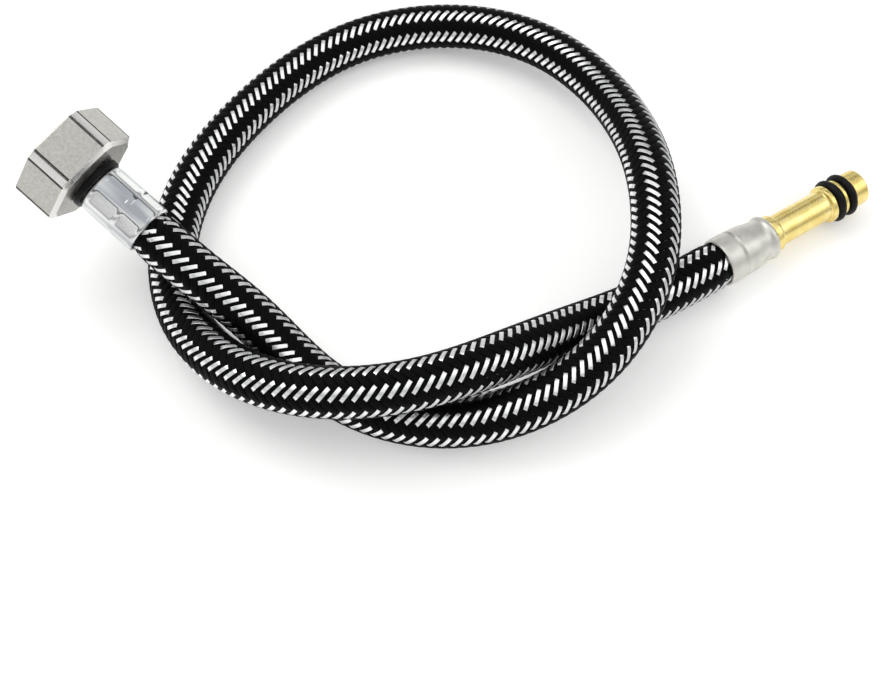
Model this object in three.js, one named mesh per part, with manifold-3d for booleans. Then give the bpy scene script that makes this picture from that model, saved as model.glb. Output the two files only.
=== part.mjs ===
// Braided supply line: a stainless and nylon braided faucet tail hose lying in a loose overhand knot.
// Inlet end: hexagon swivel nut, slip ring, nipple, rubber washer and an octagonally crimped ferrule.
// Outlet end: crimped ferrule and a brass push-in tail with two O-rings.
// Millimetres, +Z up, lying on Z = 0. The inlet opens along -X and 22 degrees upwards, and the outlet
// points roughly along +Y.

import * as THREE from 'three';
import { mergeVertices } from 'three/addons/utils/BufferGeometryUtils.js';
import Module from 'manifold-3d';

const wasm = await Module();
wasm.setup();

// ---- Driving dimensions ----------------------------------------------------------------------

// Hose
const HOSE_RADIUS = 6.0;
const JACKET_BORE_RADIUS = 4.7;
const JACKET_CRIMP_RADIUS = 5.3;
const TUBE_RADIUS = 4.4;
const TUBE_BORE_RADIUS = 2.8;
const HOSE_INSERTION = 11;
const HOSE_SIDES = 10;
const HOSE_STEPS = 72;
const TUBE_SIDES = 8;

// Common to both fittings, measured outwards from the hose mouth
const GAP = 0.3;
const FERRULE_LENGTH = 15.6;
const CRIMP_BORE_RADIUS = JACKET_CRIMP_RADIUS + GAP;
const BARB_RADIUS = TUBE_BORE_RADIUS - GAP;
const BARB_RELIEF = 0.35;
const BARB_COUNT = 2;
const BARB_START = 1;
const WATERWAY_RADIUS = 1.7;
const ROUND_SIDES = 24;

// Inlet ferrule
const FERRULE_RADIUS = 6.35;
const FERRULE_FACET_RADIUS = 6.12;
const FERRULE_RIDGE_START = 6.6;
const FERRULE_RIDGE_LENGTH = 0.9;
const FERRULE_END_WALL = 1.0;

// Inlet nipple, slip ring and washer
const NECK_RADIUS = 4.8;
const FLANGE_RADIUS = 8.8;
const FLANGE_START = 21.7;
const FLANGE_THICKNESS = 1.7;
const NIPPLE_MOUTH_RADIUS = 2.7;
const NIPPLE_MOUTH_DEPTH = 7;
const SLIP_RING_START = 15.9;
const SLIP_RING_LENGTH = 1.6;
const SLIP_RING_RADIUS = 6.8;
const SLIP_RING_BORE_RADIUS = 5.15;
const WASHER_THICKNESS = 2.0;
const WASHER_RADIUS = 9.0;
const WASHER_BORE_RADIUS = 5.0;

// Swivel nut, G 1/2 female; its turn is how far a flat's middle is from the top
const NUT_ACROSS_FLATS = 24;
const NUT_START = 17.8;
const NUT_LENGTH = 11.8;
const NUT_TURN = THREE.MathUtils.degToRad(-10.1);
const NUT_CORNER_STRIP = 2.0;
const NUT_FACE_RADIUS = 11.7;
const NUT_CHAMFER_LENGTH = 1.3;
const NUT_WALL = 2.4;
const NUT_HOLE_RADIUS = 5.5;
const THREAD_PITCH = 1.814;
const THREAD_MINOR_RADIUS = 9.3;
const THREAD_MAJOR_RADIUS = 10.48;
const THREAD_RELIEF_LENGTH = 2.6;
const THREAD_RELIEF_RADIUS = 10.6;
const THREAD_SEGMENTS_PER_TURN = 20;
const THREAD_LEAD_IN_RADIUS = 10.9;

// Outlet ferrule
const OUTLET_RIM_RADIUS = 6.3;
const OUTLET_GROOVE_AT = 5.2;
const OUTLET_SHOULDER_AT = 8.8;
const OUTLET_WAIST_RADIUS = 5.35;
const OUTLET_WAIST_START = 11.6;
const OUTLET_WAIST_AT = 13.0;
const OUTLET_LIP_RADIUS = 5.75;
const OUTLET_LIP_START = 14.3;
const OUTLET_LIP_END = 15.1;
const OUTLET_NECK_RADIUS = 4.2;

// Brass push-in tail
const TAIL_COLLAR_START = 15.9;
const TAIL_COLLAR_LENGTH = 2.0;
const TAIL_COLLAR_RADIUS = 4.75;
const TAIL_SHANK_RADIUS = 4.0;
const TAIL_FLANGE_START = 33.6;
const TAIL_FLANGE_RADIUS = 4.85;
const TAIL_FLANGE_LENGTH = 1.3;
const O_RING_SECTION = 2.0;
const O_RING_RADIUS = 4.6;
const O_RING_GROOVE_LENGTH = 2.6;
const O_RING_GROOVE_RADIUS = 3.3;
const TAIL_LAND_LENGTH = 1.0;
const TAIL_LAND_RADIUS = 4.7;
const TAIL_TIP_RADIUS = 4.6;
const TAIL_TIP_LENGTH = 4.1;
const TAIL_TIP_CHAMFER = 0.5;

// Hose centreline: control points of a uniform cubic B-spline, from the inlet mouth to the outlet
// mouth. The first three and the last three lie in line, so the hose leaves its fittings straight.
const ROUTE = [
  [-53.9, -63.6, 31.5], [-40.1, -62.1, 25.9], [-26.3, -60.6, 20.3], [-11.8, -56.6, 12.6],
  [8.6, -58.2, 7.6], [28.3, -52.5, 6.7], [44.1, -39.9, 8.4], [53.8, -22.4, 12.0],
  [55.5, -2.4, 16.6], [48.7, 16.8, 21.3], [33.7, 33.1, 22.9], [17.7, 45.7, 16.8],
  [0.7, 54.4, 11.5], [-17.9, 56.8, 9.9], [-36.0, 52.2, 8.1], [-51.4, 41.0, 6.6],
  [-61.6, 24.9, 6.1], [-65.1, 6.1, 6.2], [-63.9, -13.4, 6.6], [-59.8, -33.2, 6.7],
  [-50.1, -51.9, 5.9], [-34.4, -65.0, 6.5], [-15.9, -71.2, 10.9], [3.2, -69.5, 15.9],
  [20.2, -60.3, 19.6], [32.8, -45.3, 20.8], [39.5, -27.2, 18.4], [41.9, -8.4, 8.7],
  [50.0, 10.9, 6.3], [56.0, 33.5, 6.3], [62.0, 56.1, 6.3],
];

// ---- Solids and meshes -----------------------------------------------------------------------

// A closed manifold-3d solid from a three.js geometry.
function solidOf(geometry) {
  const bare = geometry.clone();
  bare.deleteAttribute('normal');
  bare.deleteAttribute('uv');
  const merged = mergeVertices(bare, 1e-4);
  const vertProperties = new Float32Array(merged.attributes.position.array);
  const triVerts = new Uint32Array(merged.index.array);
  return new wasm.Manifold(new wasm.Mesh({ numProp: 3, vertProperties, triVerts }));
}

// A three.js geometry from a manifold-3d solid.
function geometryOf(solid) {
  const mesh = solid.getMesh();
  const geometry = new THREE.BufferGeometry();
  geometry.setAttribute('position', new THREE.BufferAttribute(mesh.vertProperties, 3));
  geometry.setIndex(new THREE.BufferAttribute(mesh.triVerts, 1));
  geometry.computeVertexNormals();
  return geometry;
}

// A solid of revolution about the fitting's own axis, +Y. The profile is [radius, distance] pairs.
// A profile that neither starts nor ends on the axis is closed into a ring.
function turned(profile, sides = ROUND_SIDES) {
  const points = profile.map(([radius, distance]) => new THREE.Vector2(radius, distance));
  const onAxis = profile[0][0] === 0 && profile.at(-1)[0] === 0;
  if (!onAxis) points.push(points[0].clone());
  return new THREE.LatheGeometry(points, sides);
}

function turnedSolid(profile, sides) {
  return solidOf(turned(profile, sides));
}

function meshOf(name, geometry, colour, roughness, metalness) {
  const material = new THREE.MeshStandardMaterial({ color: colour, roughness, metalness });
  const mesh = new THREE.Mesh(geometry, material);
  mesh.name = name;
  return mesh;
}

const stainless = { colour: 0x9a9691, roughness: 0.38 };
const polished = { colour: 0xb4b6b8, roughness: 0.18 };
const brass = { colour: 0xd9a63a, roughness: 0.25 };

function metalMesh(name, geometry, metal) {
  return meshOf(name, geometry, metal.colour, metal.roughness, 1.0);
}

function rubberMesh(name, geometry) {
  return meshOf(name, geometry, 0x0c0c0d, 0.55, 0.0);
}

// ---- Hose ------------------------------------------------------------------------------------

// A uniform cubic B-spline through space.
class SplineRoute extends THREE.Curve {
  constructor(control) {
    super();
    this.control = control.map((point) => new THREE.Vector3(...point));
    this.arcLengthDivisions = 1200;
  }

  getPoint(t, target = new THREE.Vector3()) {
    const spans = this.control.length - 3;
    const at = Math.min(t, 1) * spans;
    const first = Math.min(Math.floor(at), spans - 1);
    const x = at - first;
    const weights = [
      (1 - x) ** 3,
      3 * x ** 3 - 6 * x ** 2 + 4,
      -3 * x ** 3 + 3 * x ** 2 + 3 * x + 1,
      x ** 3,
    ];
    target.set(0, 0, 0);
    weights.forEach((weight, k) => target.addScaledVector(this.control[first + k], weight / 6));
    return target;
  }
}

const route = new SplineRoute(ROUTE);

function polygon(radius, sides, ShapeClass) {
  const outline = new ShapeClass();
  for (let k = 0; k < sides; k += 1) {
    const angle = (2 * Math.PI * k) / sides;
    const x = radius * Math.cos(angle);
    const y = radius * Math.sin(angle);
    if (k === 0) outline.moveTo(x, y);
    else outline.lineTo(x, y);
  }
  outline.closePath();
  return outline;
}

// A hollow tube swept along the route.
function sweptTube(radius, boreRadius, sides) {
  const section = polygon(radius, sides, THREE.Shape);
  section.holes.push(polygon(boreRadius, sides, THREE.Path));
  return new THREE.ExtrudeGeometry(section, { steps: HOSE_STEPS, extrudePath: route });
}

// The straight end of a hose layer, from inside the mouth to its cut end in the ferrule.
function hoseEnd(radius, boreRadius, placement) {
  const overlap = 0.6;
  const profile = [
    [boreRadius, -overlap],
    [radius, -overlap],
    [radius, HOSE_INSERTION],
    [boreRadius, HOSE_INSERTION],
  ];
  const geometry = turned(profile, HOSE_SIDES);
  geometry.applyMatrix4(placement);
  return solidOf(geometry);
}

function hoseLayer(name, radius, boreRadius, endRadius, sides, inlet, outlet) {
  const swept = solidOf(sweptTube(radius, boreRadius, sides));
  const whole = swept
    .add(hoseEnd(endRadius, boreRadius, inlet))
    .add(hoseEnd(endRadius, boreRadius, outlet));
  return meshOf(name, geometryOf(whole), 0x111113, 0.6, 0.1);
}

// ---- Fittings, each turned about +Y with the hose mouth at the origin --------------------------

// Saw-tooth barbs that grip the inner tube.
function barbProfile(root) {
  const profile = [[WATERWAY_RADIUS, BARB_START]];
  const length = (HOSE_INSERTION - BARB_START) / BARB_COUNT;
  for (let k = 0; k < BARB_COUNT; k += 1) {
    const start = BARB_START + k * length;
    profile.push([BARB_RADIUS - BARB_RELIEF, start]);
    profile.push([BARB_RADIUS, start + length * 0.7]);
    profile.push([BARB_RADIUS - BARB_RELIEF, start + length * 0.75]);
  }
  profile.push([BARB_RADIUS - BARB_RELIEF, HOSE_INSERTION + GAP]);
  profile.push([root, HOSE_INSERTION + GAP]);
  return profile;
}

// Octagonal drum with its corners rounded off, and a raised ridge between its two crimp bands.
function inletFerrule() {
  const facetCorner = FERRULE_FACET_RADIUS / Math.cos(Math.PI / 8);
  const octagon = turnedSolid([
    [0, 0.5], [facetCorner, 0.5], [facetCorner, FERRULE_LENGTH - 0.5], [0, FERRULE_LENGTH - 0.5],
  ], 8);
  const round = turnedSolid([
    [0, GAP], [FERRULE_FACET_RADIUS - 0.2, GAP], [FERRULE_RADIUS, 0.6],
    [FERRULE_RADIUS, FERRULE_LENGTH - 0.6], [FERRULE_FACET_RADIUS - 0.3, FERRULE_LENGTH],
    [0, FERRULE_LENGTH],
  ]);
  const rims = turnedSolid([
    [0, GAP], [FERRULE_FACET_RADIUS - 0.1, GAP], [FERRULE_FACET_RADIUS, 0.7], [0, 0.7],
  ]);
  const front = turnedSolid([
    [0, FERRULE_LENGTH - 0.7], [FERRULE_FACET_RADIUS, FERRULE_LENGTH - 0.7],
    [FERRULE_FACET_RADIUS - 0.3, FERRULE_LENGTH], [0, FERRULE_LENGTH],
  ]);
  const ridgeEnd = FERRULE_RIDGE_START + FERRULE_RIDGE_LENGTH;
  const ridge = turnedSolid([
    [0, FERRULE_RIDGE_START], [FERRULE_RADIUS, FERRULE_RIDGE_START],
    [FERRULE_RADIUS, ridgeEnd], [0, ridgeEnd],
  ]);
  const bore = turnedSolid([
    [0, -1], [CRIMP_BORE_RADIUS, -1], [CRIMP_BORE_RADIUS, FERRULE_LENGTH - FERRULE_END_WALL],
    [NECK_RADIUS + GAP, FERRULE_LENGTH - FERRULE_END_WALL],
    [NECK_RADIUS + GAP, FERRULE_LENGTH + 1], [0, FERRULE_LENGTH + 1],
  ]);
  const shell = octagon.intersect(round).add(rims).add(front).add(ridge).subtract(bore);
  return metalMesh('inlet_ferrule', geometryOf(shell), polished);
}

// Barbed nipple: its flange holds the nut and backs the washer.
function inletNipple() {
  const flangeEnd = FLANGE_START + FLANGE_THICKNESS;
  const profile = [
    ...barbProfile(NECK_RADIUS),
    [NECK_RADIUS, FLANGE_START],
    [FLANGE_RADIUS, FLANGE_START],
    [FLANGE_RADIUS, flangeEnd],
    [NIPPLE_MOUTH_RADIUS, flangeEnd],
    [NIPPLE_MOUTH_RADIUS, flangeEnd - NIPPLE_MOUTH_DEPTH],
    [WATERWAY_RADIUS, flangeEnd - NIPPLE_MOUTH_DEPTH - 1],
  ];
  return metalMesh('inlet_nipple', turned(profile), stainless);
}

function slipRing() {
  const end = SLIP_RING_START + SLIP_RING_LENGTH;
  const edge = 0.35;
  const profile = [
    [SLIP_RING_BORE_RADIUS, SLIP_RING_START],
    [SLIP_RING_RADIUS - edge, SLIP_RING_START],
    [SLIP_RING_RADIUS, SLIP_RING_START + edge],
    [SLIP_RING_RADIUS, end - edge],
    [SLIP_RING_RADIUS - edge, end],
    [SLIP_RING_BORE_RADIUS, end],
  ];
  return rubberMesh('nut_slip_ring', turned(profile));
}

function sealingWasher() {
  const start = FLANGE_START + FLANGE_THICKNESS + GAP;
  const end = start + WASHER_THICKNESS;
  const profile = [
    [WASHER_BORE_RADIUS, start], [WASHER_RADIUS, start], [WASHER_RADIUS, end],
    [WASHER_BORE_RADIUS, end],
  ];
  return rubberMesh('sealing_washer', turned(profile));
}

// The helical space between two thread crests, as a solid to cut out of the nut.
function threadGroove(start, end) {
  const section = [
    [THREAD_MINOR_RADIUS - 0.25, -0.8], [THREAD_MAJOR_RADIUS, -0.15],
    [THREAD_MAJOR_RADIUS, 0.15], [THREAD_MINOR_RADIUS - 0.25, 0.8],
  ];
  const corners = section.length;
  const turns = (end - start) / THREAD_PITCH;
  const steps = Math.round(turns * THREAD_SEGMENTS_PER_TURN);
  const positions = [];
  const index = [];
  for (let step = 0; step <= steps; step += 1) {
    const angle = (2 * Math.PI * turns * step) / steps;
    const middle = start + ((end - start) * step) / steps;
    section.forEach(([radius, offset]) => {
      positions.push(radius * Math.sin(angle), middle + offset, radius * Math.cos(angle));
    });
  }
  for (let step = 0; step < steps; step += 1) {
    for (let corner = 0; corner < corners; corner += 1) {
      const a = step * corners + corner;
      const b = step * corners + ((corner + 1) % corners);
      index.push(a, a + corners, b, b, a + corners, b + corners);
    }
  }
  const last = steps * corners;
  index.push(0, 1, 2, 0, 2, 3);
  index.push(last, last + 2, last + 1, last, last + 3, last + 2);
  const geometry = new THREE.BufferGeometry();
  geometry.setAttribute('position', new THREE.Float32BufferAttribute(positions, 3));
  geometry.setIndex(index);
  return solidOf(geometry);
}

function hexagon(apothem, start, end, turn) {
  const corner = apothem / Math.cos(Math.PI / 6);
  const geometry = new THREE.CylinderGeometry(corner, corner, end - start, 6);
  geometry.rotateY(turn + NUT_TURN);
  geometry.translate(0, (start + end) / 2, 0);
  return solidOf(geometry);
}

// Hexagon with flat strips along its corners, chamfered ends, a back wall and an inside thread.
function swivelNut() {
  const end = NUT_START + NUT_LENGTH;
  const flat = NUT_ACROSS_FLATS / 2;
  const cornerDepth = NUT_CORNER_STRIP / (2 * Math.tan(Math.PI / 3));
  const strip = flat / Math.cos(Math.PI / 6) - cornerDepth;
  const flats = hexagon(flat, NUT_START, end, Math.PI / 6);
  const strips = hexagon(strip, NUT_START, end, 0);
  const wide = NUT_FACE_RADIUS + NUT_CHAMFER_LENGTH * Math.tan(Math.PI / 3);
  const drum = turnedSolid([
    [0, NUT_START], [NUT_FACE_RADIUS, NUT_START], [wide, NUT_START + NUT_CHAMFER_LENGTH],
    [wide, end - NUT_CHAMFER_LENGTH], [NUT_FACE_RADIUS, end], [0, end],
  ], 36);
  const wallEnd = NUT_START + NUT_WALL;
  const reliefEnd = wallEnd + THREAD_RELIEF_LENGTH;
  const bore = turnedSolid([
    [0, NUT_START - 1], [NUT_HOLE_RADIUS, NUT_START - 1], [NUT_HOLE_RADIUS, wallEnd],
    [THREAD_RELIEF_RADIUS, wallEnd], [THREAD_RELIEF_RADIUS, reliefEnd - 0.6],
    [THREAD_MINOR_RADIUS, reliefEnd + 0.6], [THREAD_MINOR_RADIUS, end - 1.2],
    [THREAD_LEAD_IN_RADIUS, end], [THREAD_LEAD_IN_RADIUS, end + 1], [0, end + 1],
  ]);
  const groove = threadGroove(reliefEnd, end - 0.5);
  const body = flats.intersect(strips).intersect(drum).subtract(bore).subtract(groove);
  return metalMesh('swivel_nut', geometryOf(body), stainless);
}

// Waisted ferrule with a groove behind its rim and a rounded lip at its end.
function outletFerrule() {
  const grooveHalf = 0.35;
  const profile = [
    [CRIMP_BORE_RADIUS, GAP],
    [OUTLET_RIM_RADIUS - 0.3, GAP],
    [OUTLET_RIM_RADIUS, GAP + 0.4],
    [OUTLET_RIM_RADIUS - 0.05, OUTLET_GROOVE_AT - grooveHalf],
    [OUTLET_RIM_RADIUS - 0.35, OUTLET_GROOVE_AT],
    [OUTLET_RIM_RADIUS - 0.1, OUTLET_GROOVE_AT + grooveHalf],
    [OUTLET_RIM_RADIUS - 0.2, OUTLET_SHOULDER_AT],
    [OUTLET_WAIST_RADIUS + 0.2, OUTLET_WAIST_START],
    [OUTLET_WAIST_RADIUS, OUTLET_WAIST_AT],
    [OUTLET_WAIST_RADIUS + 0.05, OUTLET_LIP_START - 0.5],
    [OUTLET_LIP_RADIUS, OUTLET_LIP_START],
    [OUTLET_LIP_RADIUS, OUTLET_LIP_END],
    [OUTLET_LIP_RADIUS - 0.35, FERRULE_LENGTH],
    [OUTLET_NECK_RADIUS + GAP, FERRULE_LENGTH],
    [OUTLET_NECK_RADIUS + GAP, HOSE_INSERTION + 2],
    [CRIMP_BORE_RADIUS - 0.4, HOSE_INSERTION + 1],
    [CRIMP_BORE_RADIUS, HOSE_INSERTION - 0.6],
  ];
  return metalMesh('outlet_ferrule', turned(profile), stainless);
}

const firstGroove = TAIL_FLANGE_START + TAIL_FLANGE_LENGTH;
const secondGroove = firstGroove + O_RING_GROOVE_LENGTH + TAIL_LAND_LENGTH;

function outletTail() {
  const collarEnd = TAIL_COLLAR_START + TAIL_COLLAR_LENGTH;
  const landStart = firstGroove + O_RING_GROOVE_LENGTH;
  const tipStart = secondGroove + O_RING_GROOVE_LENGTH;
  const tipEnd = tipStart + TAIL_TIP_LENGTH;
  const profile = [
    ...barbProfile(OUTLET_NECK_RADIUS),
    [OUTLET_NECK_RADIUS, TAIL_COLLAR_START],
    [TAIL_COLLAR_RADIUS, TAIL_COLLAR_START],
    [TAIL_COLLAR_RADIUS, collarEnd - 0.4],
    [TAIL_COLLAR_RADIUS - 0.4, collarEnd],
    [TAIL_SHANK_RADIUS, collarEnd],
    [TAIL_SHANK_RADIUS, TAIL_FLANGE_START],
    [TAIL_FLANGE_RADIUS, TAIL_FLANGE_START],
    [TAIL_FLANGE_RADIUS, firstGroove],
    [O_RING_GROOVE_RADIUS, firstGroove],
    [O_RING_GROOVE_RADIUS, landStart],
    [TAIL_LAND_RADIUS, landStart],
    [TAIL_LAND_RADIUS, secondGroove],
    [O_RING_GROOVE_RADIUS, secondGroove],
    [O_RING_GROOVE_RADIUS, tipStart],
    [TAIL_TIP_RADIUS, tipStart],
    [TAIL_TIP_RADIUS, tipEnd - TAIL_TIP_CHAMFER],
    [TAIL_TIP_RADIUS - TAIL_TIP_CHAMFER, tipEnd],
    [WATERWAY_RADIUS, tipEnd],
  ];
  return metalMesh('outlet_tail', turned(profile), brass);
}

function oRing(name, grooveStart) {
  const middle = grooveStart + O_RING_GROOVE_LENGTH / 2;
  const radius = O_RING_SECTION / 2;
  const sides = 8;
  const profile = [];
  for (let k = 0; k < sides; k += 1) {
    const angle = (2 * Math.PI * k) / sides;
    profile.push([O_RING_RADIUS + radius * Math.cos(angle), middle + radius * Math.sin(angle)]);
  }
  return rubberMesh(name, turned(profile));
}

// ---- Assembly --------------------------------------------------------------------------------

// Places a fitting's +Y axis along the hose's outward direction at a mouth, with +Z kept uppermost.
function placementAt(end) {
  const outward = route.getTangent(end);
  if (end === 0) outward.negate();
  const side = outward.clone().cross(new THREE.Vector3(0, 0, 1)).normalize();
  const up = side.clone().cross(outward);
  return new THREE.Matrix4().makeBasis(side, outward, up).setPosition(route.getPoint(end));
}

function fittingGroup(placement, meshes) {
  const group = new THREE.Group();
  group.applyMatrix4(placement);
  group.add(...meshes);
  return group;
}

const inletPlacement = placementAt(0);
const outletPlacement = placementAt(1);

const supplyLine = new THREE.Group();
supplyLine.name = 'braided_supply_line';

supplyLine.add(fittingGroup(inletPlacement, [
  swivelNut(),
  slipRing(),
  sealingWasher(),
  inletNipple(),
  inletFerrule(),
]));

supplyLine.add(fittingGroup(outletPlacement, [
  outletFerrule(),
  outletTail(),
  oRing('o_ring_inner', firstGroove),
  oRing('o_ring_outer', secondGroove),
]));

supplyLine.add(hoseLayer('braid_jacket', HOSE_RADIUS, JACKET_BORE_RADIUS, JACKET_CRIMP_RADIUS,
  HOSE_SIDES, inletPlacement, outletPlacement));
supplyLine.add(hoseLayer('inner_tube', TUBE_RADIUS, TUBE_BORE_RADIUS, TUBE_RADIUS,
  TUBE_SIDES, inletPlacement, outletPlacement));

export default supplyLine;
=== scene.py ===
"""Braided supply line: a stainless and nylon braided faucet tail hose in a loose overhand knot.

The inlet has a hexagon swivel nut, the outlet a brass push-in tail with two O-rings. Places are in
metres in the part's frame, +Z up; the sections of the fittings and the braid are in millimetres.
"""

import math

import bpy
import numpy as np
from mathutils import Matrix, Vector


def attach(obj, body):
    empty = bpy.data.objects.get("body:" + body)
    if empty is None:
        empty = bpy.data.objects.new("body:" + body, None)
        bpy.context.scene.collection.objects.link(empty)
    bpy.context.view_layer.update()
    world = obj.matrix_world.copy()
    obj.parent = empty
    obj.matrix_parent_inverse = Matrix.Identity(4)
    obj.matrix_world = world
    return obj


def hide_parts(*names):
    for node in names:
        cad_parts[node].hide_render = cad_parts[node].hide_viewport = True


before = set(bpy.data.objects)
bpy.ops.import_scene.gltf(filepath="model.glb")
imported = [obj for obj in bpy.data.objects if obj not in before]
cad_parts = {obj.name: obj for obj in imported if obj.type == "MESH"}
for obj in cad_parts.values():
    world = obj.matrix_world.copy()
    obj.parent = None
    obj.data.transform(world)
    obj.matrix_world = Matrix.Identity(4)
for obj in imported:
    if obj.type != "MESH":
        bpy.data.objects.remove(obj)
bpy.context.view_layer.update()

MM = 0.001
FULL_TURN = 2 * math.pi

# ---- Hose, in metres -----------------------------------------------------------------------------

# Centreline: control points of a uniform cubic B-spline, from the inlet mouth to the outlet mouth.
ROUTE = [
    (-0.0539, -0.0636, 0.0315), (-0.0401, -0.0621, 0.0259), (-0.0263, -0.0606, 0.0203),
    (-0.0118, -0.0566, 0.0126), (0.0086, -0.0582, 0.0076), (0.0283, -0.0525, 0.0067),
    (0.0441, -0.0399, 0.0084), (0.0538, -0.0224, 0.0120), (0.0555, -0.0024, 0.0166),
    (0.0487, 0.0168, 0.0213), (0.0337, 0.0331, 0.0229), (0.0177, 0.0457, 0.0168),
    (0.0007, 0.0544, 0.0115), (-0.0179, 0.0568, 0.0099), (-0.0360, 0.0522, 0.0081),
    (-0.0514, 0.0410, 0.0066), (-0.0616, 0.0249, 0.0061), (-0.0651, 0.0061, 0.0062),
    (-0.0639, -0.0134, 0.0066), (-0.0598, -0.0332, 0.0067), (-0.0501, -0.0519, 0.0059),
    (-0.0344, -0.0650, 0.0065), (-0.0159, -0.0712, 0.0109), (0.0032, -0.0695, 0.0159),
    (0.0202, -0.0603, 0.0196), (0.0328, -0.0453, 0.0208), (0.0395, -0.0272, 0.0184),
    (0.0419, -0.0084, 0.0087), (0.0500, 0.0109, 0.0063), (0.0560, 0.0335, 0.0063),
    (0.0620, 0.0561, 0.0063),
]
HOSE_DIAMETER = 0.012
# From the mouth of one ferrule to the mouth of the other, without the insertion into each of them
INSERTION = 0.009
CORE_STEP = 0.001
CORE_SIDES = 24

# ---- Braid, in millimetres -----------------------------------------------------------------------

# Steel carriers go one way round and as many nylon carriers the other, two over and two under.
CARRIERS = 12
BRAID_LEAD = 28.8
BRAID_STEP = 0.4
STEEL_WIDTH = 1.02
STEEL_WIRES = 5
STEEL_RADIUS = 5.64
STEEL_RISE = 0.22
NYLON_WIDTH = 1.95
NYLON_THICKNESS = 0.5
NYLON_RADIUS = 5.62
NYLON_RISE = 0.12
CROSSING_SHARPNESS = 2.4
CORE_RADIUS = 5.2

# At a ferrule the outside of the hose is drawn in to this radius. It widens again over the taper,
# which starts at the margin inside the hose mouth.
MOUTH_RADIUS = 5.4
MOUTH_MARGIN = 0.3
MOUTH_TAPER = 2.2

# The braid is turned this far round the hose at the inlet, and the twist dies out between the two
# distances.
INLET_TWIST = math.radians(30)
TWIST_START = 90
TWIST_END = 210

# ---- Fittings, in millimetres, with distances outwards from the hose mouth -----------------------

FERRULE_START = 0.3
FERRULE_END = 15.6
CRIMP_RADIUS = 6.4
CRIMP_FLAT_RADIUS = 6.12
CRIMP_SIDES = 8

SLIP_RING_START = 15.9
SLIP_RING_END = 17.5
SLIP_RING_HOLE = 5.15
SLIP_RING_RADIUS = 6.8

NIPPLE_NECK = 4.8
NIPPLE_BORE = 2.7
FLANGE_START = 21.7
FLANGE_END = 23.4
FLANGE_RADIUS = 8.8

WASHER_START = 23.7
WASHER_END = 25.7
WASHER_HOLE = 5.0
WASHER_RADIUS = 9.0

NUT_ACROSS_FLATS = 24.0
NUT_START = 17.8
NUT_END = 29.6
NUT_WALL = 2.4
NUT_HOLE = 5.5
NUT_MOUTH = 10.9
NUT_TURN = math.radians(-10.1)
NUT_FACE_RADIUS = 11.7
NUT_CHAMFER_ANGLE = math.radians(30)
NUT_CORNER_STRIP = 2.0
NUT_GROOVE_DEPTH = 0.3
NUT_GROOVE_WIDTH = 0.5

THREAD_PITCH = 1.814
THREAD_MAJOR_RADIUS = 10.48
THREAD_MINOR_RADIUS = 9.3
THREAD_START = NUT_START + NUT_WALL + 2.6
THREAD_END = NUT_END - 0.9
THREAD_EMBED = 0.15
THREAD_STEPS_PER_TURN = 48

BARB_BORE = 1.7
BARB_ROOT = 2.15
BARB_CREST = 2.5
BARBS_START = 1.0
BARBS_END = 11.3

TAIL_NECK = 4.2
COLLAR_START = 15.9
COLLAR_END = 17.7
COLLAR_RADIUS = 4.75
SHANK_START = 18.1
SHANK_END = 33.4
SHANK_RADIUS = 4.0
TAIL_FLANGE_RADIUS = 4.85
LAND_RADIUS = 4.7
TIP_RADIUS = 4.6
TIP_CHAMFER = 0.5
TAIL_END = 45.2

INNER_SEAL = 36.2
OUTER_SEAL = 39.8
SEAL_GROOVE_WIDTH = 2.6
SEAL_GROOVE_RADIUS = 3.3
SEAL_RADIUS = 4.6
SEAL_THICKNESS = 2.0

# ---- Camera --------------------------------------------------------------------------------------

CAMERA_PLACE = (0.1310, -0.1438, 0.2795)
CAMERA_AZIMUTH = 43.16
CAMERA_ELEVATION = 60.0
CAMERA_FOCAL_LENGTH = 53.36
CAMERA_SENSOR_WIDTH = 36.0

camera_data = bpy.data.cameras.new("camera")
camera_data.lens = CAMERA_FOCAL_LENGTH
camera_data.sensor_width = CAMERA_SENSOR_WIDTH
camera_data.clip_start = 0.01
camera = bpy.data.objects.new("camera", camera_data)
camera.location = CAMERA_PLACE
camera.rotation_euler = (
    math.radians(90 - CAMERA_ELEVATION), 0, math.radians(CAMERA_AZIMUTH)
)
bpy.context.scene.collection.objects.link(camera)
bpy.context.scene.camera = camera


# ---- Meshes --------------------------------------------------------------------------------------


def add_piece(mesh, body, slot, material, *nodes):
    """Links a finished mesh as a piece on a body, under its own name, standing for CAD nodes."""
    piece = bpy.data.objects.new(mesh.name, mesh)
    bpy.context.scene.collection.objects.link(piece)
    mesh.materials.append(material)
    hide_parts(*nodes)
    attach(piece, body)
    return piece


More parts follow.
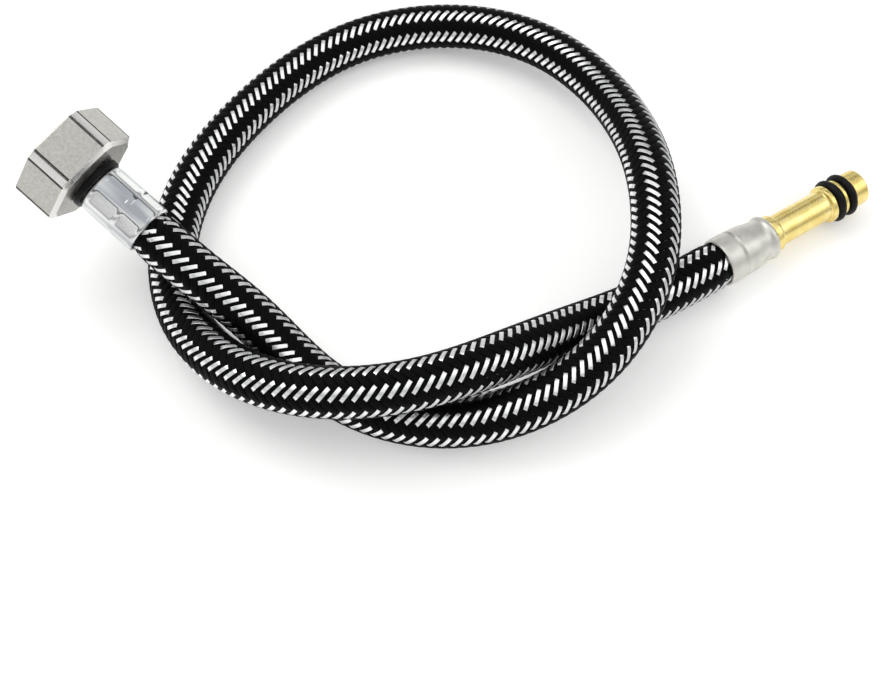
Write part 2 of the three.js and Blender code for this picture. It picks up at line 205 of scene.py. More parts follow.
def surface(name, grids, close_rows=False, sharp=None):
    """A closed mesh over grids of points, shape (grid, row, column, 3), whose columns form rings.

    Rows close into a ring too, or else the first and last one are capped. Edges that turn by more
    than the sharp angle, in degrees, stay sharp.
    """
    grids = np.asarray(grids, float)
    if grids.ndim == 3:
        grids = grids[None]
    count, rows, columns, _ = grids.shape
    index = np.arange(count * rows * columns).reshape(count, rows, columns)
    caps = [] if close_rows else [index[:, 0, ::-1], index[:, -1]]
    index = np.concatenate([index, index[:, :, :1]], axis=2)
    if close_rows:
        index = np.concatenate([index, index[:, :1]], axis=1)
    quads = np.stack(
        [index[:, :-1, :-1], index[:, :-1, 1:], index[:, 1:, 1:], index[:, 1:, :-1]], -1
    ).reshape(-1, 4)

    # Faces wind outwards where the volume that they enclose comes out positive.
    points = grids.reshape(-1, 3)
    a, b, c, d = (points[quads[:, k]] for k in range(4))
    inside_out = (np.cross(c - a, d - b) * (a + b + c + d)).sum() < 0
    if inside_out:
        quads = quads[:, ::-1]
        caps = [cap[:, ::-1] for cap in caps]

    faces = quads.tolist()
    for cap in caps:
        faces += cap.tolist()
    mesh = bpy.data.meshes.new(name)
    mesh.from_pydata(points.tolist(), [], faces)
    add_grid_uv(mesh, grids, close_rows, inside_out)
    mesh.shade_smooth()
    if sharp is not None:
        mesh.set_sharp_from_angle(angle=math.radians(sharp))
    return mesh


def add_grid_uv(mesh, grids, close_rows, inside_out):
    """A UV map with the part of the way round a row in U and the mm along a column in V.

    The quads come first in the mesh; caps keep a UV of zero.
    """
    if close_rows:
        grids = np.concatenate([grids, grids[:, :1]], axis=1)
    count, _, columns, _ = grids.shape
    along = np.linalg.norm(np.diff(grids, axis=1), axis=-1).mean(axis=(0, 2)) / MM
    v = np.concatenate([[0], np.cumsum(along)])
    u = np.arange(columns + 1) / columns
    uv = np.zeros((count, len(along), columns, 4, 2))
    uv[..., 0] = np.stack([u[:-1], u[1:], u[1:], u[:-1]], -1)[None, None]
    uv[..., 1] = np.stack([v[:-1], v[:-1], v[1:], v[1:]], -1)[None, :, None]
    if inside_out:
        uv = uv[..., ::-1, :]
    values = np.zeros((len(mesh.loops), 2))
    values[: uv.size // 2] = uv.reshape(-1, 2)
    mesh.uv_layers.new(name="UVMap").data.foreach_set("uv", values.ravel())


def rounded(corners, steps=3):
    """A closed outline of (x, y, fillet) corners, with steps + 1 points around each of them."""
    corners = np.asarray(corners, float)
    points = []
    for k, (x, y, fillet) in enumerate(corners):
        corner = np.array([x, y])
        back = corners[k - 1, :2] - corner
        ahead = corners[(k + 1) % len(corners), :2] - corner
        back_length = np.linalg.norm(back)
        ahead_length = np.linalg.norm(ahead)
        back = back / back_length
        ahead = ahead / ahead_length
        reach = max(0.02, min(fillet, 0.45 * back_length, 0.45 * ahead_length))
        for t in np.linspace(0, 1, steps + 1):
            points.append(corner + reach * (back * (1 - t) ** 2 + ahead * t**2))
    return np.array(points)


class Fitting:
    """The frame of an end fitting: its axis leads outwards from the hose mouth."""

    def __init__(self, mouth, outward):
        self.mouth = np.array(mouth)
        self.outward = np.array(outward)
        side = np.cross(self.outward, (0, 0, 1))
        self.side = side / np.linalg.norm(side)
        self.up = np.cross(self.side, self.outward)

    def points(self, radius, distance, angle):
        """Places at a radius, a distance outwards and an angle from the top, all as arrays."""
        radius, distance, angle = np.broadcast_arrays(radius, distance, angle)
        across = radius * np.sin(angle)
        height = radius * np.cos(angle)
        offset = (
            across[..., None] * self.side
            + distance[..., None] * self.outward
            + height[..., None] * self.up
        )
        return self.mouth + offset * MM

    def turned(self, name, profile, sides=96, sharp=35):
        """A solid of revolution from (radius, distance, fillet) corners."""
        outline = rounded(profile)
        angle = np.linspace(0, FULL_TURN, sides, endpoint=False)
        grid = self.points(outline[:, :1], outline[:, 1:], angle[None])
        return surface(name, grid, close_rows=True, sharp=sharp)


def weigh_normals(piece):
    """Keeps wide faces flat beside their small fillets."""
    modifier = piece.modifiers.new("weighted_normals", "WEIGHTED_NORMAL")
    modifier.keep_sharp = True
    return piece


# ---- Materials -----------------------------------------------------------------------------------


class Material:
    """A node material built around one Principled shader."""

    def __init__(self, name, colour, metallic, roughness):
        self.material = bpy.data.materials.new(name)
        self.material.use_nodes = True
        self.nodes = self.material.node_tree.nodes
        self.links = self.material.node_tree.links
        self.shader = self.nodes["Principled BSDF"]
        self.shader.inputs["Base Color"].default_value = (*colour, 1)
        self.shader.inputs["Metallic"].default_value = metallic
        self.shader.inputs["Roughness"].default_value = roughness
        self.normal = None

    def add(self, kind, **values):
        """A new node, with values for its inputs or, where it has no such input, its settings."""
        node = self.nodes.new(kind)
        for key, value in values.items():
            if key in node.inputs:
                node.inputs[key].default_value = value
            else:
                setattr(node, key, value)
        return node

    def noise(self, scale, detail):
        """Noise by place, in features per metre."""
        coordinates = self.add("ShaderNodeTexCoord")
        return self.noise_at(coordinates.outputs["Object"], scale, detail)

    def streaks(self, around, along, detail):
        """Noise over the UV map, in features per turn and per mm."""
        coordinates = self.add("ShaderNodeTexCoord")
        mapping = self.add("ShaderNodeMapping", Scale=(around, along, 1.0))
        self.links.new(coordinates.outputs["UV"], mapping.inputs["Vector"])
        return self.noise_at(mapping.outputs["Vector"], 1.0, detail)

    def noise_at(self, coordinates, scale, detail):
        """Noise over any coordinates, as values around 0.5."""
        texture = self.add("ShaderNodeTexNoise", Scale=scale, Detail=detail)
        self.links.new(coordinates, texture.inputs["Vector"])
        return texture.outputs["Fac"]

    def vary_colour(self, value, dark, light, start=0.3, end=0.7):
        """Blends the colour from dark at the start value to light at the end value."""
        ramp = self.add("ShaderNodeValToRGB")
        ramp.color_ramp.elements[0].position = start
        ramp.color_ramp.elements[0].color = (*dark, 1)
        ramp.color_ramp.elements[1].position = end
        ramp.color_ramp.elements[1].color = (*light, 1)
        self.links.new(value, ramp.inputs["Fac"])
        self.links.new(ramp.outputs["Color"], self.shader.inputs["Base Color"])

    def vary_roughness(self, value, low, high):
        """Spreads the roughness over the middle of the noise's range."""
        node = self.add("ShaderNodeMapRange")
        node.inputs["From Min"].default_value = 0.3
        node.inputs["From Max"].default_value = 0.7
        node.inputs["To Min"].default_value = low
        node.inputs["To Max"].default_value = high
        self.links.new(value, node.inputs["Value"])
        self.links.new(node.outputs["Result"], self.shader.inputs["Roughness"])

    def bump(self, value, height):
        """Adds relief of that height in metres, on top of any relief added before."""
        node = self.add("ShaderNodeBump", Distance=height)
        self.links.new(value, node.inputs["Height"])
        if self.normal is not None:
            self.links.new(self.normal, node.inputs["Normal"])
        self.normal = node.outputs["Normal"]
        self.links.new(self.normal, self.shader.inputs["Normal"])


def speckled_steel():
    """Satin stainless with a fine tumbled speckle."""
    m = Material("speckled_steel", (0.45, 0.44, 0.41), 1.0, 0.36)
    speckle = m.noise(1500, 4)
    m.vary_colour(speckle, (0.37, 0.36, 0.33), (0.55, 0.54, 0.51), 0.2, 0.8)
    m.vary_roughness(m.noise(900, 3), 0.3, 0.42)
    m.bump(speckle, 0.000025)
    return m.material


def groove_shade_steel():
    """Dull grey steel, dark as painted shade, in the fine grooves beside the nut's strips."""
    m = Material("groove_shade_steel", (0.09, 0.085, 0.08), 1.0, 0.5)
    # The darker and lighter tones vary the painted shade in the grooves.
    groove_shade_tone = m.noise(1200, 3)
    m.vary_colour(groove_shade_tone, (0.05, 0.048, 0.045), (0.14, 0.135, 0.13))
    m.vary_roughness(groove_shade_tone, 0.42, 0.6)
    return m.material


def machined_steel():
    """Bright stainless with fine turning marks."""
    m = Material("machined_steel", (0.78, 0.77, 0.75), 1.0, 0.2)
    marks = m.streaks(0.5, 9.0, 2)
    m.vary_roughness(marks, 0.14, 0.26)
    m.bump(marks, 0.000015)
    return m.material


def polished_steel_painted_reflections():
    """Plated crimp steel, bright, with darker bluish streaks along it that are painted reflections.
    """
    m = Material("polished_steel_painted_reflections", (0.7, 0.71, 0.72), 1.0, 0.16)
    # The darker bluish streaks, varying around the drum and running along it, are painted
    # reflections.
    m.vary_colour(m.streaks(9.0, 0.03, 1), (0.36, 0.38, 0.41), (0.8, 0.81, 0.8), 0.38, 0.58)
    m.vary_roughness(m.noise(260, 4), 0.12, 0.24)
    m.bump(m.noise(1500, 3), 0.000012)
    return m.material


def satin_steel():
    """Warm satin steel with turning marks."""
    m = Material("satin_steel", (0.64, 0.63, 0.58), 1.0, 0.42)
    marks = m.streaks(0.6, 6.0, 3)
    m.vary_roughness(marks, 0.38, 0.47)
    m.vary_colour(m.noise(500, 3), (0.6, 0.59, 0.54), (0.7, 0.69, 0.64))
    m.bump(marks, 0.000008)
    return m.material


def machined_brass():
    """Bright turned brass."""
    m = Material("machined_brass", (0.87, 0.7, 0.27), 1.0, 0.26)
    marks = m.streaks(0.5, 7.0, 3)
    m.vary_roughness(marks, 0.21, 0.31)
    m.vary_colour(m.noise(300, 3), (0.79, 0.6, 0.18), (0.93, 0.79, 0.35))
    m.bump(marks, 0.00002)
    return m.material


def black_rubber():
    """Smooth black rubber with a faint bloom."""
    m = Material("black_rubber", (0.004, 0.004, 0.004), 0.0, 0.42)
    m.shader.inputs["Specular IOR Level"].default_value = 0.16
    grain = m.noise(1800, 4)
    m.vary_colour(m.noise(350, 3), (0.002, 0.002, 0.002), (0.007, 0.007, 0.007))
    m.vary_roughness(grain, 0.36, 0.5)
    m.bump(grain, 0.00002)
    return m.material


def moulded_plastic():
    """Black moulded plastic, slightly glossy."""
    m = Material("moulded_plastic", (0.004, 0.004, 0.004), 0.0, 0.35)
    m.shader.inputs["Specular IOR Level"].default_value = 0.14
    grain = m.noise(2400, 3)
    m.vary_colour(m.noise(400, 3), (0.002, 0.002, 0.002), (0.007, 0.007, 0.007))
    m.vary_roughness(grain, 0.28, 0.42)
    m.bump(grain, 0.000015)
    return m.material


def braid_nylon():
    """Black nylon bundles, with filaments running along each strand."""
    m = Material("braid_nylon", (0.004, 0.004, 0.0045), 0.0, 0.5)
    m.shader.inputs["Specular IOR Level"].default_value = 0.05
    filaments = m.streaks(34.0, 0.35, 2)
    m.vary_colour(filaments, (0.001, 0.001, 0.0012), (0.004, 0.004, 0.0045))
    m.vary_roughness(filaments, 0.4, 0.6)
    m.bump(filaments, 0.00007)
    return m.material


def braid_steel():
    """Bright stainless wire, with slight drawing marks along it."""
    m = Material("braid_steel", (0.95, 0.96, 0.97), 1.0, 0.3)
    marks = m.streaks(30.0, 0.5, 2)
    m.vary_colour(marks, (0.86, 0.87, 0.88), (0.99, 0.99, 1.0))
    m.vary_roughness(marks, 0.24, 0.38)
    m.bump(marks, 0.00001)
    return m.material


SPECKLED_STEEL = speckled_steel()
GROOVE_SHADE_STEEL = groove_shade_steel()
MACHINED_STEEL = machined_steel()
POLISHED_STEEL_PAINTED_REFLECTIONS = polished_steel_painted_reflections()
SATIN_STEEL = satin_steel()
BRASS = machined_brass()
RUBBER = black_rubber()
PLASTIC = moulded_plastic()
NYLON = braid_nylon()
STEEL_WIRE = braid_steel()

# ---- Hose centreline -----------------------------------------------------------------------------


def unit(vectors):
    """Vectors along the last axis, scaled to a length of one."""
    return vectors / np.linalg.norm(vectors, axis=-1, keepdims=True)


def spline_point(control, t):
    """Points of the uniform cubic B-spline at parameters t from 0 to 1, as an array."""
    spans = len(control) - 3
    at = np.clip(t, 0, 1) * spans
    first = np.minimum(at.astype(int), spans - 1)
    x = (at - first)[:, None]
    weights = [
        (1 - x) ** 3,
        3 * x**3 - 6 * x**2 + 4,
        -3 * x**3 + 3 * x**2 + 3 * x + 1,
        x**3,
    ]
    return sum(weight * control[first + k] / 6 for k, weight in enumerate(weights))


class Centreline:
    """The hose's centreline by distance, in metres, with a frame that turns as little as it can.

    It runs straight on into the ferrule at either end.
    """

    def __init__(self, control, step=0.0002, spline_steps=20000):
        line = spline_point(np.array(control), np.linspace(0, 1, spline_steps + 1))
        reached = np.concatenate([[0], np.cumsum(np.linalg.norm(np.diff(line, axis=0), axis=1))])
        self.length = reached[-1]
        self.inlet_mouth = line[0]
        self.outlet_mouth = line[-1]
        self.inlet_outward = unit(line[0] - line[1])
        self.outlet_outward = unit(line[-1] - line[-2])
        inlet_end = self.inlet_mouth + self.inlet_outward * INSERTION
        outlet_end = self.outlet_mouth + self.outlet_outward * INSERTION
        line = np.concatenate([[inlet_end], line, [outlet_end]])
        reached = np.concatenate([[-INSERTION], reached, [self.length + INSERTION]])
        self.at = np.arange(-INSERTION, self.length + INSERTION, step)
        self.place = np.stack([np.interp(self.at, reached, line[:, k]) for k in range(3)], 1)
        self.tangent = unit(np.gradient(self.place, axis=0))
        self.normal = self.least_turning_normals()

    def least_turning_normals(self):
        """One normal for each point, carried along by double reflection."""
        normals = np.zeros_like(self.place)
        up = np.array([0.0, 0.0, 1.0])
        normals[0] = unit(up - self.tangent[0] * (up @ self.tangent[0]))
        for k in range(len(self.place) - 1):
            step = self.place[k + 1] - self.place[k]
            normal = normals[k] - step * (2 * (step @ normals[k]) / (step @ step))
            tangent = self.tangent[k] - step * (2 * (step @ self.tangent[k]) / (step @ step))
            bend = self.tangent[k + 1] - tangent
            size = bend @ bend
            if size > 1e-18:
                normal = normal - bend * (2 * (bend @ normal) / size)
            normals[k + 1] = normal
        return normals

    def sample(self, distance):
        """Places, tangents, normals and binormals at distances along the hose."""
        place, tangent, normal = (
            np.stack([np.interp(distance, self.at, field[:, k]) for k in range(3)], -1)
            for field in (self.place, self.tangent, self.normal)
        )
        tangent = unit(tangent)
        normal = unit(normal - tangent * (normal * tangent).sum(-1, keepdims=True))
        return place, tangent, normal, np.cross(tangent, normal)


centreline = Centreline(ROUTE)
inlet_mouth = centreline.inlet_mouth
inlet = Fitting(inlet_mouth, centreline.inlet_outward)
outlet = Fitting(centreline.outlet_mouth, centreline.outlet_outward)

# ---- Hose core -----------------------------------------------------------------------------------


def draw_in(distance, radius):
    """The radius of a braid layer, less where it enters a ferrule."""
    inside = np.minimum(distance, centreline.length - distance) / MM
    blend = np.clip((inside - MOUTH_MARGIN) / MOUTH_TAPER, 0, 1)
    blend = blend * blend * (3 - 2 * blend)
    least = radius * MOUTH_RADIUS / (HOSE_DIAMETER / MM / 2)
    return least + (radius - least) * blend


def hose_core():
    """The tube under the braid, and the points along its middle."""
    distance = np.arange(-INSERTION, centreline.length + INSERTION, CORE_STEP)
    radius = draw_in(distance, CORE_RADIUS)
    path, _, normal, binormal = centreline.sample(distance)
    angle = np.linspace(0, FULL_TURN, CORE_SIDES, endpoint=False)[None, :, None]
    direction = np.cos(angle) * normal[:, None] + np.sin(angle) * binormal[:, None]
    rings = path[:, None] + direction * radius[:, None, None] * MM
    return add_piece(surface("hose_core", rings), "line", "braid", NYLON, "braid_jacket"), path


core, core_path = hose_core()

# ---- Braid ---------------------------------------------------------------------------------------


def braid_twist(distance):
    """The angle that the whole braid is turned by, which follows the twist in the hose."""
    untwisted = (distance / MM - TWIST_START) / (TWIST_END - TWIST_START)
    return INLET_TWIST * (1 - np.clip(untwisted, 0, 1))


def strand_grids(numbers, turn, radius, rise, section):
    """Strands as grids of points: turn is 1 for a right-hand helix and -1 for a left-hand one.

    Strands of the two directions cross at every 24th of a turn and every 24th of the lead.
    Where steel rises, nylon sinks, so each passes over two and under two.
    """
    distance = np.arange(-INSERTION / 2, centreline.length + INSERTION / 2, BRAID_STEP * MM)
    place, _, normal, binormal = centreline.sample(distance)
    helix = turn * FULL_TURN * distance / (BRAID_LEAD * MM)
    grids = []
    for number in numbers:
        angle = helix + FULL_TURN * number / CARRIERS
        crossings = angle * 2 * CARRIERS / FULL_TURN
        wave = np.cos(math.pi / 2 * (crossings + 0.5))
        wave = np.tanh(CROSSING_SHARPNESS * wave) / np.tanh(CROSSING_SHARPNESS)
        layer = draw_in(distance, radius - turn * rise * wave)
        twisted = (angle + braid_twist(distance))[:, None]
        outward = np.cos(twisted) * normal + np.sin(twisted) * binormal
        strand = place + outward * layer[:, None] * MM
        along = unit(np.gradient(strand, axis=0))
        across = unit(np.cross(along, outward))
        facing = np.cross(across, along)
        offset = section[:, 0, None] * across[:, None] + section[:, 1, None] * facing[:, None]
        grids.append(strand[:, None] + offset * MM)
    return np.array(grids)


def wire_section():
    """Flat bundle of round wires side by side, as a ring of (across, outwards) points in mm."""
    edge = np.linspace(-0.5, 0.5, 2 * STEEL_WIRES + 1) * STEEL_WIDTH
    height = np.where(np.arange(len(edge)) % 2 == 1, 0.12, 0.03)
    height[0] = height[-1] = 0.0
    top = np.stack([edge, height], 1)
    under = np.array([[0.35, -0.09], [-0.35, -0.09]]) * [STEEL_WIDTH, 1]
    return np.concatenate([top, under])


def filament_section():
    """Flattened bundle of filaments with full edges, as a ring like the wires'."""
    angle = np.linspace(0, FULL_TURN, 12, endpoint=False)
    across = np.sign(np.cos(angle)) * np.abs(np.cos(angle)) ** 0.75 * NYLON_WIDTH / 2
    height = np.sign(np.sin(angle)) * np.abs(np.sin(angle)) ** 0.9 * NYLON_THICKNESS / 2
    return np.stack([across, height], 1)


def braid_pieces(name, count, material, turn, radius, rise, section):
    """The strands of one direction, shared out over a few pieces."""
    for part in range(count):
        grids = strand_grids(range(part, CARRIERS, count), turn, radius, rise, section)
        strands = surface(f"{name}_{part + 1}", grids)
        add_piece(strands, "line", "braid", material, "braid_jacket")


braid_pieces("braid_steel", 3, STEEL_WIRE, -1, STEEL_RADIUS, STEEL_RISE, wire_section())
braid_pieces("braid_nylon", 2, NYLON, 1, NYLON_RADIUS, NYLON_RISE, filament_section())

# The rubber tube inside the hose keeps its CAD mesh.
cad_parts["inner_tube"].data.materials.clear()
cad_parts["inner_tube"].data.materials.append(RUBBER)

# ---- Swivel nut ----------------------------------------------------------------------------------


def nut_outline():
    """Hexagon with flat strips along its corners and a fine groove beside each strip."""
    flat = NUT_ACROSS_FLATS / 2
    strip = flat / math.cos(math.pi / 6) - NUT_CORNER_STRIP / (2 * math.tan(math.pi / 3))
    corners = []
    for k in range(6):
        middle = math.radians(30 + 60 * k)
        radial = np.array([math.sin(middle), math.cos(middle)])
        for sign in (-1, 1):
            along = np.array([math.cos(middle), -math.sin(middle)]) * sign
            edge = radial * strip + along * NUT_CORNER_STRIP / 2
            facing = middle + math.radians(30) * sign
            along_flat = np.array([math.cos(facing), -math.sin(facing)]) * sign
            inward = -np.array([math.sin(facing), math.cos(facing)])
            bottom = edge + along_flat * NUT_GROOVE_WIDTH / 2 + inward * NUT_GROOVE_DEPTH
            far_edge = edge + along_flat * NUT_GROOVE_WIDTH
            groove = [(*edge, 0.08), (*bottom, 0.05), (*far_edge, 0.12)]
            corners += groove[::-1] if sign < 0 else groove
    return rounded(corners, steps=2)


def nut_grid():
    """The nut's outer skin, chamfers, end faces and bore, as rings around its axis."""
    rings = []
    for across, height in nut_outline():
        radius = math.hypot(across, height)
        angle = math.atan2(across, height) + NUT_TURN
        chamfer = (radius - NUT_FACE_RADIUS) * math.tan(NUT_CHAMFER_ANGLE)
        profile = rounded([
            (NUT_HOLE, NUT_START, 0.3),
            (NUT_FACE_RADIUS, NUT_START, 0.15),
            (radius, NUT_START + chamfer, 0.15),
            (radius, NUT_END - chamfer, 0.15),
            (NUT_FACE_RADIUS, NUT_END, 0.15),
            (NUT_MOUTH, NUT_END, 0.1),
            (THREAD_MAJOR_RADIUS, NUT_END - 0.5, 0.1),
            (THREAD_MAJOR_RADIUS, NUT_START + NUT_WALL, 0.3),
            (NUT_HOLE, NUT_START + NUT_WALL, 0.2),
        ])
        rings.append(inlet.points(profile[:, 0], profile[:, 1], angle))
    return np.array(rings).transpose(1, 0, 2)


def finish_nut_faces(nut):
    """Speckled flats and ends, bright strips and chamfers, and dull grooves painted dark as shade.
    """
    nut.data.materials.append(MACHINED_STEEL)
    # The third material paints shade into the grooves.
    nut.data.materials.append(GROOVE_SHADE_STEEL)
    speckled, machined, painted_groove_shade = range(3)
    side = Vector(inlet.side)
    up = Vector(inlet.up)
    for face in nut.data.polygons:
        along = abs(face.normal @ Vector(inlet.outward))
        facing = math.degrees(math.atan2(face.normal @ side, face.normal @ up) - NUT_TURN)
        from_strip = abs(facing % 60 - 30)
        if along > 0.97:
            face.material_index = speckled
        elif along > 0.2 or from_strip < 6:
            face.material_index = machined
        elif from_strip > 27:
            face.material_index = speckled
        # The rest are the groove faces, painted dark as shade.
        else:
            face.material_index = painted_groove_shade


def swivel_nut():
    """Hexagon nut, closed behind but for the hole around the nipple's neck."""
    shell = surface("nut_shell", nut_grid(), close_rows=True, sharp=30)
    nut = add_piece(shell, "nut", "stainless", SPECKLED_STEEL, "swivel_nut")
    finish_nut_faces(nut)
    weigh_normals(nut)


def thread_grid():
    """One ridge that winds along the bore, rooted in its wall and tapered away at both ends."""
    turns = (THREAD_END - THREAD_START) / THREAD_PITCH
    t = np.linspace(0, 1, int(turns * THREAD_STEPS_PER_TURN))
    taper = np.clip(np.minimum(t, 1 - t) * turns * 5, 0.05, 1)
    crest = THREAD_MAJOR_RADIUS - (THREAD_MAJOR_RADIUS - THREAD_MINOR_RADIUS) * taper
    root = np.full(len(t), THREAD_MAJOR_RADIUS + THREAD_EMBED)
    radius = np.stack([root, crest, crest, root], 1)
    spread = np.array([-0.8, -0.14, 0.14, 0.8])
    distance = THREAD_START + (THREAD_END - THREAD_START) * t[:, None] + spread
    angle = (FULL_TURN * turns * t)[:, None]
    return inlet.points(radius, distance, angle)


def nut_thread():
    """Female thread in the nut's bore."""
    ridge = surface("nut_thread", thread_grid(), sharp=30)
    add_piece(ridge, "nut", "stainless", MACHINED_STEEL, "swivel_nut")


swivel_nut()
nut_thread()

# ---- Rest of the inlet fitting -------------------------------------------------------------------


def ring_profile(hole, radius, start, end, hole_fillet, edge_fillet):
    """A flat ring's section, as (radius, distance, fillet) corners."""
    return [
        (hole, start, hole_fillet), (radius, start, edge_fillet),
        (radius, end, edge_fillet), (hole, end, hole_fillet),
    ]


def slip_ring():
    """Black ring on the nipple's neck, behind the nut."""
    profile = ring_profile(
        SLIP_RING_HOLE, SLIP_RING_RADIUS, SLIP_RING_START, SLIP_RING_END, 0.2, 0.4
    )
    mesh = inlet.turned("slip_ring_moulding", profile)
    weigh_normals(add_piece(mesh, "slip_ring", "black_plastic", PLASTIC, "nut_slip_ring"))


def sealing_washer():
    """Flat rubber washer in the nut, against the nipple's flange."""
    profile = ring_profile(WASHER_HOLE, WASHER_RADIUS, WASHER_START, WASHER_END, 0.15, 0.25)
    mesh = inlet.turned("washer_rubber", profile)
    weigh_normals(add_piece(mesh, "line", "black_rubber", RUBBER, "sealing_washer"))


def barbs(neck):
    """The barbed spigot inside the hose, from its bore outwards to the fitting's neck."""
    profile = [(BARB_BORE, BARBS_START, 0.1), (BARB_ROOT, BARBS_START, 0.1)]
    for crest, next_barb in ((4.5, 6.0), (9.5, BARBS_END)):
        profile += [
            (BARB_CREST, crest, 0.05), (BARB_ROOT, crest + 0.3, 0.05),
            (BARB_ROOT, next_barb, 0.05),
        ]
    return profile + [(neck, BARBS_END, 0.1)]


def inlet_nipple():
    """Barb in the hose, neck through the ring and the nut, and flange in the nut."""
    mesh = inlet.turned("nipple_turning", barbs(NIPPLE_NECK) + [
        (NIPPLE_NECK, FLANGE_START, 0.2), (FLANGE_RADIUS, FLANGE_START, 0.25),
        (FLANGE_RADIUS, FLANGE_END, 0.25), (NIPPLE_BORE, FLANGE_END, 0.3),
        (NIPPLE_BORE, 16.4, 0.3), (BARB_BORE, 15.4, 0.3),
    ])
    weigh_normals(add_piece(mesh, "line", "stainless", MACHINED_STEEL, "inlet_nipple"))


def crimp_grid():
    """Drum pressed to an octagon in two bands, which leaves a round ridge between them."""
    sector = 360 / CRIMP_SIDES
    steps = np.linspace(-sector / 2, sector / 2, 15)[:-1]
    degrees = (np.arange(CRIMP_SIDES)[:, None] * sector + steps).ravel()
    from_flat = np.radians((degrees + sector / 2) % sector - sector / 2)
    pressed = np.minimum(CRIMP_FLAT_RADIUS / np.cos(from_flat), CRIMP_RADIUS)

    # Distance, how far it is pressed (0 round, 1 octagon) and how far the radius shifts
    outside = [
        (0.35, 0.0, -0.35), (0.5, 0.0, -0.08), (0.8, 0.0, 0.0), (1.3, 0.0, 0.0),
        (1.7, 1.0, 0.0), (6.0, 1.0, 0.0), (6.4, 0.25, 0.0), (6.7, 0.0, 0.0), (7.3, 0.0, 0.0),
        (7.6, 0.25, 0.0), (8.0, 1.0, 0.0), (13.7, 1.0, 0.0), (14.1, 0.4, -0.02),
        (14.4, 0.0, -0.04), (15.0, 0.0, -0.1), (15.4, 0.0, -0.2), (FERRULE_END, 0.0, -0.5),
    ]
    # Radius and distance, from the outer end back to the mouth
    inside = [
        (5.3, FERRULE_END), (5.1, 15.4), (5.1, 14.8), (5.3, 14.6), (5.6, 14.4),
        (5.6, 1.0), (5.65, 0.5), (5.8, FERRULE_START),
    ]
    profile = [
        (CRIMP_RADIUS + (pressed - CRIMP_RADIUS) * press + shift, distance)
        for distance, press, shift in outside
    ]
    angle = np.radians(degrees)
    rows = [inlet.points(radius, distance, angle) for radius, distance in profile + inside]
    return np.array(rows)


def inlet_ferrule():
    """Polished drum that clamps the hose on the nipple."""
    mesh = surface("ferrule_octagon", crimp_grid(), close_rows=True, sharp=60)
    weigh_normals(add_piece(mesh, "line", "crimped_steel", POLISHED_STEEL_PAINTED_REFLECTIONS, "inlet_ferrule"))


slip_ring()
sealing_washer()
inlet_nipple()
inlet_ferrule()

# ---- Outlet fitting ------------------------------------------------------------------------------


def waisted_ferrule():
    """Rim with a groove behind it, a drum, a waist and a rounded lip."""
    mesh = outlet.turned("ferrule_waisted", [
        (5.6, FERRULE_START, 0.1), (6.2, FERRULE_START, 0.25), (6.3, 2.5, 1.0), (6.24, 4.8, 0.1),
        (5.8, 5.2, 0.1), (6.18, 5.65, 0.15), (6.1, 8.8, 1.5), (5.55, 11.6, 1.2),
        (5.33, 13.0, 0.8), (5.4, 13.8, 0.3), (5.76, 14.35, 0.3), (5.76, 15.1, 0.35),
        (5.4, FERRULE_END, 0.2), (4.5, FERRULE_END, 0.15), (4.5, 13.0, 0.2), (5.2, 12.0, 0.2),
        (5.6, 10.4, 0.3),
    ])
    return weigh_normals(add_piece(mesh, "line", "satin_steel", SATIN_STEEL, "outlet_ferrule"))


def seal_groove(middle, radius_before, radius_after):
    """The seat of an O-ring, with the edges of the rims on either side of it."""
    start = middle - SEAL_GROOVE_WIDTH / 2
    end = middle + SEAL_GROOVE_WIDTH / 2
    return [
        (radius_before, start, 0.2), (SEAL_GROOVE_RADIUS, start, 0.15),
        (SEAL_GROOVE_RADIUS, end, 0.15), (radius_after, end, 0.2),
    ]


def brass_tail():
    """Collar, shank, flange, two seal grooves with a land between them, and the tip."""
    profile = barbs(TAIL_NECK) + [
        (TAIL_NECK, COLLAR_START, 0.1), (COLLAR_RADIUS, COLLAR_START, 0.15),
        (COLLAR_RADIUS, COLLAR_END, 0.2), (SHANK_RADIUS, SHANK_START, 0.4),
        (SHANK_RADIUS, SHANK_END, 0.3), (TAIL_FLANGE_RADIUS, SHANK_END + 0.2, 0.2),
    ]
    profile += seal_groove(INNER_SEAL, TAIL_FLANGE_RADIUS, LAND_RADIUS)
    profile += seal_groove(OUTER_SEAL, LAND_RADIUS, TIP_RADIUS)
    profile += [
        (TIP_RADIUS, TAIL_END - TIP_CHAMFER, 0.2), (TIP_RADIUS - TIP_CHAMFER, TAIL_END, 0.2),
        (BARB_BORE, TAIL_END, 0.2),
    ]
    mesh = outlet.turned("tail_turning", profile)
    return weigh_normals(add_piece(mesh, "line", "brass", BRASS, "outlet_tail"))


def o_ring(name, node, middle):
    """Rubber ring of round section, seated at a distance along the tail."""
    section = np.linspace(0, FULL_TURN, 28, endpoint=False)[:, None]
    around = np.linspace(0, FULL_TURN, 96, endpoint=False)[None]
    radius = SEAL_RADIUS + np.cos(section) * SEAL_THICKNESS / 2
    grid = outlet.points(radius, middle + np.sin(section) * SEAL_THICKNESS / 2, around)
    return add_piece(surface(name, grid, close_rows=True), "line", "black_rubber", RUBBER, node)


outlet_ferrule = waisted_ferrule()
tail = brass_tail()
inner_ring = o_ring("seal_ring_inner", "o_ring_inner", INNER_SEAL)
outer_ring = o_ring("seal_ring_outer", "o_ring_outer", OUTER_SEAL)

# ---- Floor and light -----------------------------------------------------------------------------


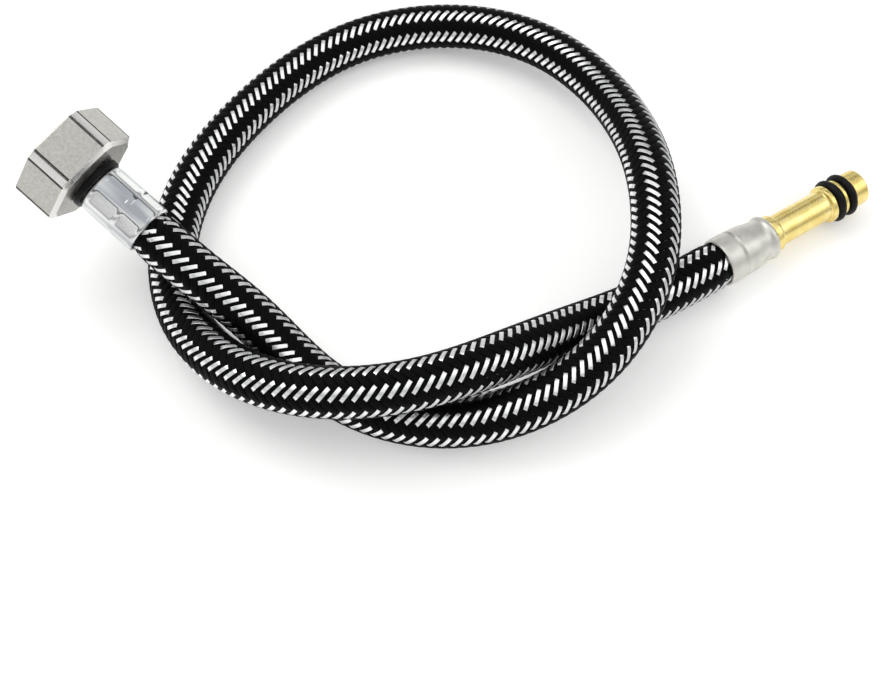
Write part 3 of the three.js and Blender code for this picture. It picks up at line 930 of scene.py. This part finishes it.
def white_floor(half_width):
    """Pale matt floor, just under the hose."""
    corners = [
        (x * half_width, y * half_width, 0) for x, y in ((-1, -1), (1, -1), (1, 1), (-1, 1))
    ]
    mesh = bpy.data.meshes.new("floor")
    mesh.from_pydata(corners, [], [(0, 1, 2, 3)])
    floor = bpy.data.objects.new("floor", mesh)
    floor.location.z = -0.0001
    bpy.context.scene.collection.objects.link(floor)
    paper = Material("white_paper", (0.93, 0.93, 0.92), 0.0, 0.9)
    paper.shader.inputs["Specular IOR Level"].default_value = 0.1
    paper.shader.inputs["Emission Color"].default_value = (1, 1, 1, 1)
    paper.shader.inputs["Emission Strength"].default_value = 0.25
    mesh.materials.append(paper.material)


def studio_world(levels, strength):
    """Grey sky: (position, level) stops from the horizon, 0, to straight up, 1.

    Everything under the horizon has the first level.
    """
    world = bpy.data.worlds.new("studio")
    world.use_nodes = True
    bpy.context.scene.world = world
    nodes = world.node_tree.nodes
    links = world.node_tree.links
    background = nodes["Background"]
    direction = nodes.new("ShaderNodeTexCoord")
    split = nodes.new("ShaderNodeSeparateXYZ")
    ramp = nodes.new("ShaderNodeValToRGB")
    links.new(direction.outputs["Generated"], split.inputs["Vector"])
    links.new(split.outputs["Z"], ramp.inputs["Fac"])
    links.new(ramp.outputs["Color"], background.inputs["Color"])
    while len(ramp.color_ramp.elements) < len(levels):
        ramp.color_ramp.elements.new(0.5)
    for element, (position, level) in zip(ramp.color_ramp.elements, levels):
        element.position = position
        element.color = (level, level, level, 1)
    background.inputs["Strength"].default_value = strength


def softbox(name, place, size, energy):
    """Rectangular lamp that faces the origin."""
    light = bpy.data.lights.new(name, "AREA")
    light.shape = "RECTANGLE"
    light.size, light.size_y = size
    light.energy = energy
    lamp = bpy.data.objects.new(name, light)
    lamp.location = place
    lamp.rotation_euler = (-Vector(place)).to_track_quat("-Z", "Y").to_euler()
    bpy.context.scene.collection.objects.link(lamp)


white_floor(half_width=20)
studio_world(
    [
        (0.0, 0.9), (0.12, 0.8), (0.2, 0.3), (0.28, 0.35), (0.4, 0.9), (0.54, 1.0), (0.6, 0.1),
        (0.72, 0.1), (0.78, 1.0),
    ],
    strength=1.05,
)
softbox("key", (-0.5, -0.1, 0.8), (0.5, 0.5), 2.0)
softbox("fill", (0.6, 0.5, 0.7), (0.6, 0.4), 1.2)

bpy.context.scene.view_settings.view_transform = "Standard"
